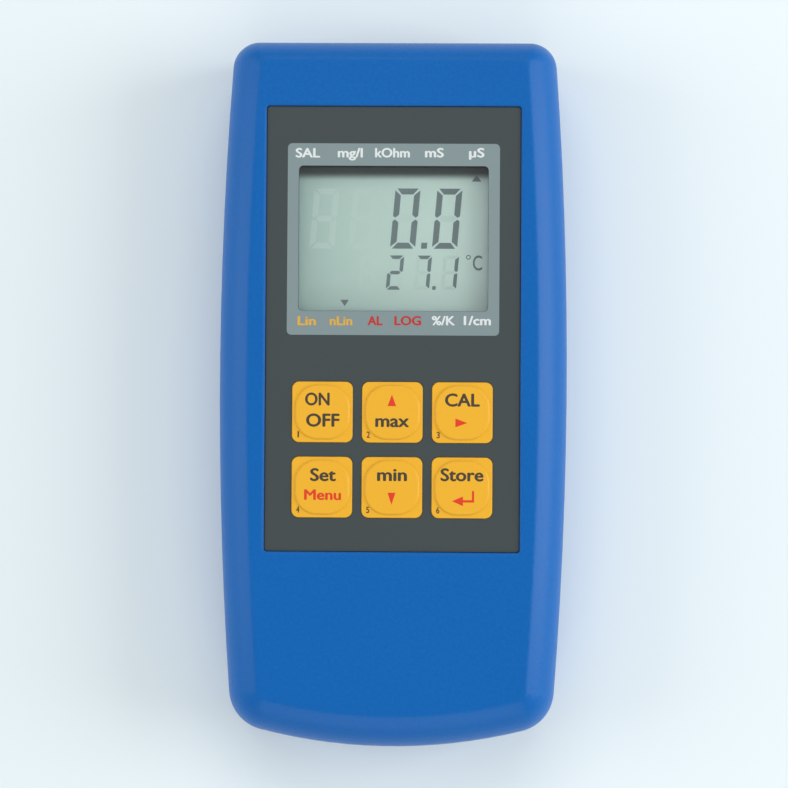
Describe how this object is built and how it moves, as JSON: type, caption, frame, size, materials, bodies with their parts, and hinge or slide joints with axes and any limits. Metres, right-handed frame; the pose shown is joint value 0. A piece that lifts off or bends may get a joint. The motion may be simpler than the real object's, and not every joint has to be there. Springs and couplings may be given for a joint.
{
  "type": "conductivity meter",
  "caption": "Handheld conductivity meter in a blue two-part case with a display window, six yellow keys, a battery bay and a fold-out stand clip.",
  "frame": {"origin": "in the plane that the back rests on, under the middle of the case", "axes": "+Z out of the display face, +Y towards the socket end, +X to the right of the display"},
  "size_m": [0.0702, 0.142, 0.0262],
  "materials": {
    "case_plastic": "fine spark-eroded satin",
    "panel_print": "satin film with matt print",
    "clear_pane": "clear polished",
    "display_cell": "matt polariser",
    "black_plastic": "moulded satin",
    "ivory_plastic": "moulded satin",
    "elastomer": "layered",
    "keypad_layers": "printed film",
    "key_plastic": "satin",
    "spring_steel": "rolled",
    "board_laminate": "solder mask",
    "bright_metal": "plated",
    "can_aluminium": "drawn",
    "contact_brass": "gold flash",
    "battery_jacket": "lacquered jacket",
    "red_insulation": "extruded",
    "black_insulation": "extruded",
    "screw_steel": "zinc plated"
  },
  "bodies": {
    "root": {"amplifier_chips": "black_plastic", "back_shell": "case_plastic", "battery": "battery_jacket", "battery_snap": "black_plastic", "battery_terminals": "bright_metal", "board_capacitors": "can_aluminium", "board_screws": "screw_steel", "buzzer": "black_plastic", "case_screws": "screw_steel", "circuit_board": "board_laminate", "clip_pin": "screw_steel", "contact_strips": "elastomer", "controller_chip": "black_plastic", "display_frame": "black_plastic", "display_glass": "display_cell", "display_pane": "clear_pane", "dome_cal": "spring_steel", "dome_max": "spring_steel", "dome_min": "spring_steel", "dome_on_off": "spring_steel", "dome_set": "spring_steel", "dome_store": "spring_steel", "front_shell": "case_plastic", "interface_jack": "black_plastic", "keypad_circuit": "keypad_layers", "keypad_connector": "ivory_plastic", "keypad_spacer": "keypad_layers", "lead_minus": "black_insulation", "lead_plus": "red_insulation", "panel_film": "panel_print", "power_pin": "bright_metal", "power_socket": "black_plastic", "probe_contacts": "contact_brass", "probe_shield": "bright_metal", "probe_socket": "black_plastic", "quartz_crystal": "bright_metal"},
    "on_off_key": {"key_on_off": "key_plastic"},
    "max_key": {"key_max": "key_plastic"},
    "cal_key": {"key_cal": "key_plastic"},
    "set_key": {"key_set": "key_plastic"},
    "min_key": {"key_min": "key_plastic"},
    "store_key": {"key_store": "key_plastic"},
    "clip": {"stand_clip": "case_plastic"},
    "cover": {"battery_cover": "case_plastic"}
  },
  "joints": [
    {"name": "on_off_press", "type": "slide", "parent": "root", "child": "on_off_key", "axis": [0, 0, -1], "range_m": [0, 0.00035], "stiffness_N_per_m": 3000, "springref_m": -0.0001, "deforming": ["dome_on_off"]},
    {"name": "max_press", "type": "slide", "parent": "root", "child": "max_key", "axis": [0, 0, -1], "range_m": [0, 0.00035], "stiffness_N_per_m": 3000, "springref_m": -0.0001, "deforming": ["dome_max"]},
    {"name": "cal_press", "type": "slide", "parent": "root", "child": "cal_key", "axis": [0, 0, -1], "range_m": [0, 0.00035], "stiffness_N_per_m": 3000, "springref_m": -0.0001, "deforming": ["dome_cal"]},
    {"name": "set_press", "type": "slide", "parent": "root", "child": "set_key", "axis": [0, 0, -1], "range_m": [0, 0.00035], "stiffness_N_per_m": 3000, "springref_m": -0.0001, "deforming": ["dome_set"]},
    {"name": "min_press", "type": "slide", "parent": "root", "child": "min_key", "axis": [0, 0, -1], "range_m": [0, 0.00035], "stiffness_N_per_m": 3000, "springref_m": -0.0001, "deforming": ["dome_min"]},
    {"name": "store_press", "type": "slide", "parent": "root", "child": "store_key", "axis": [0, 0, -1], "range_m": [0, 0.00035], "stiffness_N_per_m": 3000, "springref_m": -0.0001, "deforming": ["dome_store"]},
    {"name": "clip_fold", "type": "hinge", "parent": "root", "child": "clip", "pos_m": [0, 0.0665, 0.00185], "axis": [1, 0, 0], "range_deg": [0, 180]},
    {"name": "cover_slide", "type": "slide", "parent": "root", "child": "cover", "axis": [0, -1, 0], "range_m": [0, 0.026]}
  ]
}
